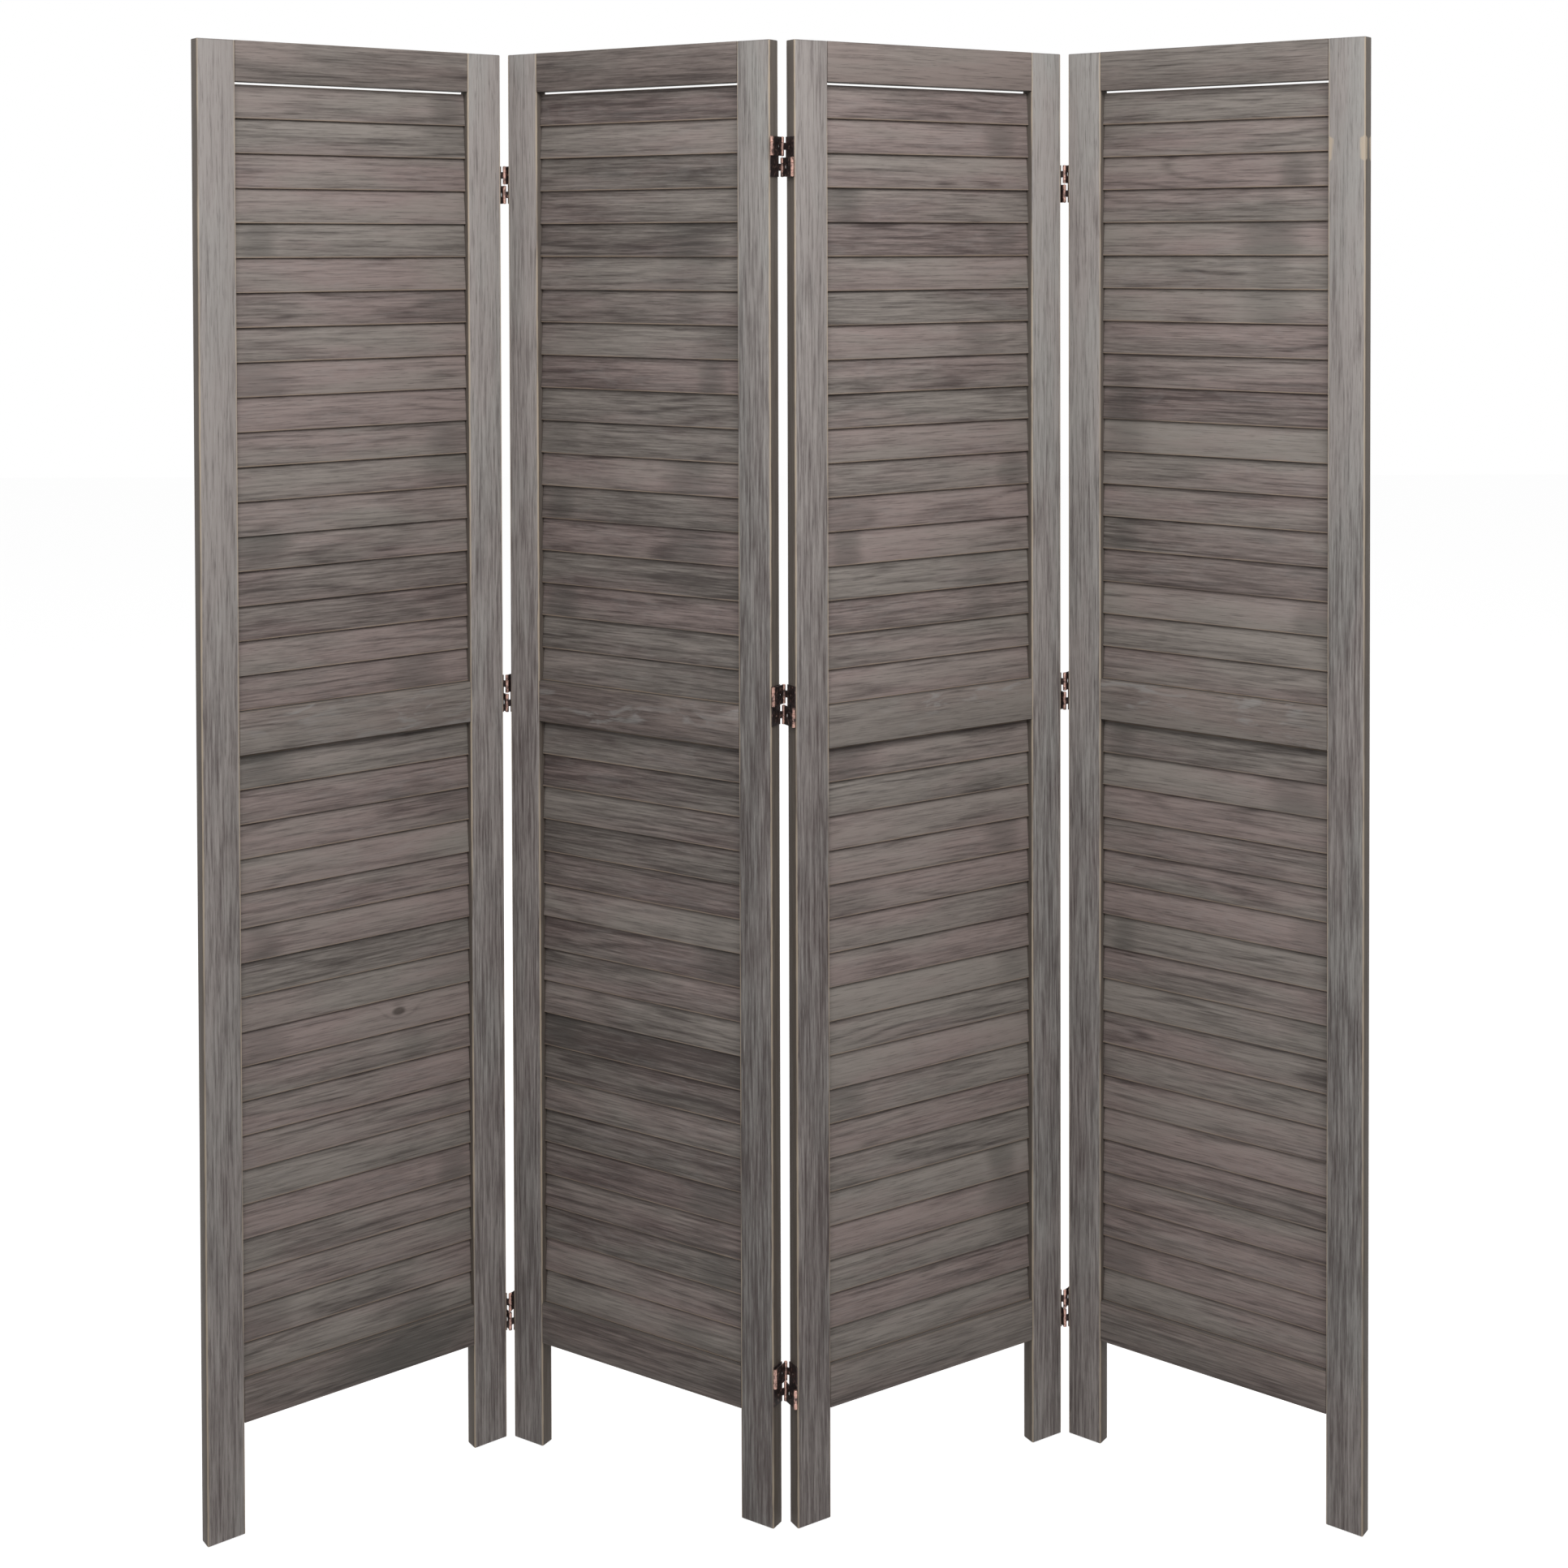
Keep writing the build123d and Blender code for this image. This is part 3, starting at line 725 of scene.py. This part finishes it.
def add_strap(bm, points, height, place):
    """A strip of sheet that follows points in X and Y, extruded up."""
    half = plate_thickness / 2
    left = []
    right = []
    for count, point in enumerate(points):
        ahead = Vector(points[min(count + 1, len(points) - 1)])
        behind = Vector(points[max(count - 1, 0)])
        run = (ahead - behind).normalized()
        across = Vector((-run.y, run.x)) * half
        left.append(Vector(point) + across)
        right.append(Vector(point) - across)
    outline = left + right[::-1]
    verts = [bm.verts.new((point.x, point.y, 0.0)) for point in outline]
    face = bm.faces.new(verts)
    raised = bmesh.ops.extrude_face_region(bm, geom=[face])["geom"]
    top = [item for item in raised if isinstance(item, bmesh.types.BMVert)]
    bmesh.ops.translate(bm, verts=top, vec=(0, 0, height))
    bmesh.ops.transform(bm, matrix=place, verts=verts + top)


def end_matrix(side, height):
    """Place of a hinge in a panel: on the middle of an end face, X out of it."""
    if side == "right":
        return Matrix.Translation((panel_width, panel_thickness / 2, height))
    return Matrix.Translation((0.0, panel_thickness / 2, height)) @ Matrix.Rotation(pi, 4, "Z")


barrel_reach = panel_thickness / 2 + barrel_proud
leaf_steps = {1: (link_spacing + half_height) / 2, -1: -(link_spacing + half_height) / 2}


def add_leaf(bm, place):
    """A leaf: a plate with two countersunk holes, and a rolled barrel at each edge."""
    width = panel_thickness - 2 * leaf_margin
    for half in leaf_steps:
        middle = Matrix.Translation((0, 0, half * hinge_height / 4))
        add_holed_plate(
            bm, width, hinge_height / 2, screw_radius + hole_clearance, screw_head_radius + hole_clearance,
            place @ middle,
        )
    for half, step in leaf_steps.items():
        across = -half
        bottom = place @ Matrix.Translation((0, 0, step - leaf_barrel_height / 2))
        axis = Matrix.Translation((barrel_out, across * barrel_reach, 0))
        add_barrel(bm, bottom @ axis, leaf_barrel_height)
        edge = panel_thickness / 2 - leaf_bend
        tangent = barrel_radius - plate_thickness / 2
        points = (
            (plate_thickness / 2, across * (edge - 0.001)),
            (plate_thickness * 0.75, across * edge),
            (barrel_out - tangent - 0.0004, across * (barrel_reach - 0.0022)),
            (barrel_out - tangent, across * barrel_reach),
        )
        add_strap(bm, points, leaf_barrel_height, bottom)


def add_link(bm, place):
    """A link: a plate with a driver hole and a notched barrel at each edge."""
    gap = leaf_barrel_height + 2 * barrel_clearance
    tube = (half_height - gap) / 2
    width = 2 * (barrel_reach - link_notch)
    centre = Matrix.Translation((barrel_out - plate_thickness / 2, 0, 0))
    add_holed_plate(bm, width, half_height, driver_hole_radius, driver_hole_radius, place @ centre)
    for across in (-1, 1):
        for bottom in (-half_height / 2, half_height / 2 - tube):
            spot = place @ Matrix.Translation((barrel_out, across * barrel_reach, bottom))
            add_barrel(bm, spot, tube)
            points = (
                (0.0, -across * (link_notch + 0.0002)),
                (0.0, -across * (barrel_radius - 0.0004)),
                (0.0, -across * bore_radius),
            )
            add_strap(bm, points, tube, spot)


def add_pin(bm, place):
    """A hinge pin with both ends peened over."""
    reach = half_height / 2 + pin_head
    dome = ((0.0, 0.0), (0.55, 0.00008), (0.9, 0.00025), (1.0, 0.0005))
    foot = [(pin_radius * share, -reach + drop) for share, drop in dome]
    head = [(radius, -height) for radius, height in reversed(foot)]
    turn_profile(bm, foot + head, pin_sides, place)


def add_screw(bm, place):
    """A countersunk screw with a cross recess in its head and a threaded shank."""
    before = set(bm.verts)
    ring = bmesh.ops.create_circle(
        bm, cap_ends=False, segments=screw_sides, radius=screw_head_radius,
    )["verts"]
    edges = list({edge for vertex in ring for edge in vertex.link_edges})
    inner = bmesh.ops.extrude_edge_only(bm, edges=edges)["geom"]
    cross = [item for item in inner if isinstance(item, bmesh.types.BMVert)]
    arm, web = screw_head_radius * 0.55, screw_head_radius * 0.13
    for vertex in cross:
        angle = atan2(vertex.co.y, vertex.co.x)
        quarter = round((angle - pi / 4) / (pi / 2)) * pi / 2 + pi / 4
        swing = angle - quarter
        turn = Matrix.Rotation(quarter - pi / 4, 3, "Z")
        if abs(swing) < 0.2:
            spot = Vector((web, web, 0))
        elif swing > 0:
            spot = Vector((web, arm, 0))
        else:
            spot = Vector((arm, web, 0))
        vertex.co = turn @ spot
    mouth = [item for item in inner if isinstance(item, bmesh.types.BMEdge)]
    sunk = bmesh.ops.extrude_edge_only(bm, edges=mouth)["geom"]
    floor = [item for item in sunk if isinstance(item, bmesh.types.BMVert)]
    bmesh.ops.translate(bm, verts=floor, vec=(0, 0, -0.0008))
    bmesh.ops.scale(bm, vec=(0.6, 0.6, 1.0), verts=floor)
    bmesh.ops.contextual_create(bm, geom=floor)
    neck = bmesh.ops.extrude_edge_only(bm, edges=edges)["geom"]
    low = [item for item in neck if isinstance(item, bmesh.types.BMVert)]
    bmesh.ops.translate(bm, verts=low, vec=(0, 0, -plate_thickness))
    bmesh.ops.scale(bm, vec=(screw_radius / screw_head_radius,) * 2 + (1.0,), verts=low)
    loop = [item for item in neck if isinstance(item, bmesh.types.BMEdge)]
    shank = screw_length - plate_thickness - screw_tip
    for count in range(2 * thread_turns):
        grown = bmesh.ops.extrude_edge_only(bm, edges=loop)["geom"]
        low = [item for item in grown if isinstance(item, bmesh.types.BMVert)]
        loop = [item for item in grown if isinstance(item, bmesh.types.BMEdge)]
        bmesh.ops.translate(bm, verts=low, vec=(0, 0, -shank / (2 * thread_turns)))
        grow = thread_waist if count % 2 == 0 else 1 / thread_waist
        bmesh.ops.scale(bm, vec=(grow, grow, 1.0), verts=low)
    tip = bmesh.ops.extrude_edge_only(bm, edges=loop)["geom"]
    low = [item for item in tip if isinstance(item, bmesh.types.BMVert)]
    bmesh.ops.translate(bm, verts=low, vec=(0, 0, -screw_tip))
    bmesh.ops.pointmerge(bm, verts=low, merge_co=(0, 0, plate_thickness - screw_length))
    made = [vertex for vertex in bm.verts if vertex not in before]
    stand = Matrix(((0, 0, 1, plate_thickness), (1, 0, 0, 0), (0, 1, 0, 0), (0, 0, 0, 1)))
    for vertex in made:
        vertex.co.z = min(vertex.co.z, 0.0)
    bmesh.ops.transform(bm, matrix=place @ stand, verts=made)


def close_metal(bm):
    """Merges doubles and turns every face outwards."""
    bmesh.ops.remove_doubles(bm, verts=bm.verts, dist=weld_distance)
    bmesh.ops.recalc_face_normals(bm, faces=bm.faces)


def hinge_middles(number):
    """Heights of the three hinges of a joint."""
    low, middle, top = centre_hinges if number == 2 else outer_hinges
    return (leg_length + low, middle_rail_bottom + middle, panel_height - top)


def make_hinge_piece(node, panel, side, heights, add_part, steps, material):
    """One kind of piece of a joint's three hinges."""
    bm = bmesh.new()
    bm.verts.layers.float.new("rubbed_and_highlit")
    for height in heights:
        for step in steps:
            add_part(bm, panels[panel] @ end_matrix(side, height) @ Matrix.Translation(step))
    close_metal(bm)
    finish_piece(bm, f"{node}_metal", material, body_of(node), node, radians(35))


def make_hinges():
    """Leaves, screws, links and pins of the three joints."""
    screw_steps = [(0, 0, step) for step in leaf_steps.values()]
    for number in (1, 2, 3):
        heights = hinge_middles(number)
        for hand, panel, side in (("left", number, "right"), ("right", number + 1, "left")):
            name = f"hinge_{number}_{hand}"
            make_hinge_piece(f"{name}_leaves", panel, side, heights, add_leaf, [(0, 0, 0)],
                             leaf_bronze)
            make_hinge_piece(f"{name}_screws", panel, side, heights, add_screw, screw_steps,
                             screw_bronze)
        left = (number, "right")
        right = (number + 1, "left")
        upper, lower = (left, right) if number == 2 else (right, left)
        for half, (panel, side), sign in (("upper", upper, 1), ("lower", lower, -1)):
            middle = sign * (link_spacing + half_height) / 2
            name = f"hinge_{number}_{half}"
            make_hinge_piece(f"{name}_links", panel, side, heights, add_link, [(0, 0, middle)],
                             link_bronze)
            pin_steps = [(barrel_out, across * barrel_reach, middle) for across in (-1, 1)]
            make_hinge_piece(f"{name}_pins", panel, side, heights, add_pin, pin_steps,
                             pin_bronze)


make_stiles()
make_rails()
make_slats()
make_hinges()


# Studio

floor_reach = 12.0
floor_shade = 0.30
floor_shade_seen = 0.80
floor_glow_seen = 0.74
world_light = 0.30


def make_floor():
    """A plain floor that reads white to the camera, and is darker in the light that it throws back."""
    bm = bmesh.new()
    bmesh.ops.create_grid(bm, x_segments=1, y_segments=1, size=floor_reach)
    mesh = bpy.data.meshes.new("floor")
    bm.to_mesh(mesh)
    bm.free()
    floor = bpy.data.objects.new("floor", mesh)
    bpy.context.scene.collection.objects.link(floor)
    material = bpy.data.materials.new("pale_floor")
    material.use_nodes = True
    tree = material.node_tree
    shader = tree.nodes["Principled BSDF"]
    shader.inputs["Roughness"].default_value = 0.9
    shader.inputs["Specular IOR Level"].default_value = 0.0
    rays = add_node(tree, "ShaderNodeLightPath").outputs
    seen = maths(tree, "MAXIMUM", rays["Is Camera Ray"], rays["Is Glossy Ray"])
    colour = blend(tree, seen, rgb(*(floor_shade,) * 3), rgb(*(floor_shade_seen,) * 3))
    tree.links.new(colour, shader.inputs["Base Color"])
    shader.inputs["Emission Color"].default_value = rgb(1.0, 1.0, 1.0)
    tree.links.new(maths(tree, "MULTIPLY", seen, floor_glow_seen), shader.inputs["Emission Strength"])
    mesh.materials.append(material)


def make_world():
    """A white surround to the camera, and a soft even light on the object."""
    world = bpy.data.worlds.new("studio")
    bpy.context.scene.world = world
    world.use_nodes = True
    tree = world.node_tree
    background = tree.nodes["Background"]
    rays = add_node(tree, "ShaderNodeLightPath").outputs
    seen = maths(tree, "MAXIMUM", rays["Is Camera Ray"],
                 maths(tree, "MAXIMUM", rays["Is Glossy Ray"], rays["Is Transmission Ray"]))
    background.inputs["Color"].default_value = rgb(1.0, 1.0, 1.0)
    tree.links.new(ramp(tree, seen, 0.0, 1.0, world_light, 1.0), background.inputs["Strength"])


def add_lamp(name, place, aim, width, height, power):
    """A soft rectangular lamp that points at a spot."""
    data = bpy.data.lights.new(name, "AREA")
    data.shape = "RECTANGLE"
    data.size = width
    data.size_y = height
    data.energy = power
    lamp = bpy.data.objects.new(name, data)
    lamp.location = place
    lamp.rotation_euler = (Vector(aim) - Vector(place)).to_track_quat("-Z", "Y").to_euler()
    bpy.context.scene.collection.objects.link(lamp)


def make_camera():
    """The photograph's camera: upright lines stay almost upright because the lens is shifted.

    Its place is from the front left corner of the second panel.
    """
    image_width = 1932.0
    focal_pixels = 2675.5
    centre_x, centre_y = 1028.1, 354.8
    pitch = radians(1.059)
    roll = radians(0.136)
    right, forward, height = 0.4194, -2.7965, 1.5453
    corner = panels[2].translation
    data = bpy.data.cameras.new("camera")
    data.sensor_width = 36.0
    data.lens = focal_pixels / image_width * data.sensor_width
    data.shift_x = -(centre_x / image_width - 0.5)
    data.shift_y = centre_y / image_width - 0.5
    data.clip_end = 50.0
    camera = bpy.data.objects.new("camera", data)
    camera.location = (corner.x + right, corner.y + forward, height)
    turn = Matrix.Rotation(pi / 2 - pitch, 3, "X") @ Matrix.Rotation(-roll, 3, "Z")
    camera.rotation_euler = turn.to_euler()
    bpy.context.scene.collection.objects.link(camera)
    bpy.context.scene.camera = camera


make_floor()
make_world()
add_lamp("key", (0.5, -2.2, 3.1), (0.0, 0.0, 1.5), 3.2, 1.4, 68.0)
add_lamp("fill", (-2.4, -1.6, 2.2), (0.0, 0.0, 1.2), 1.4, 1.8, 8.0)
add_lamp("back", (0.0, 2.4, 2.6), (0.0, 0.0, 1.2), 2.4, 1.2, 24.0)
make_camera()
bpy.context.scene.view_settings.view_transform = "Standard"
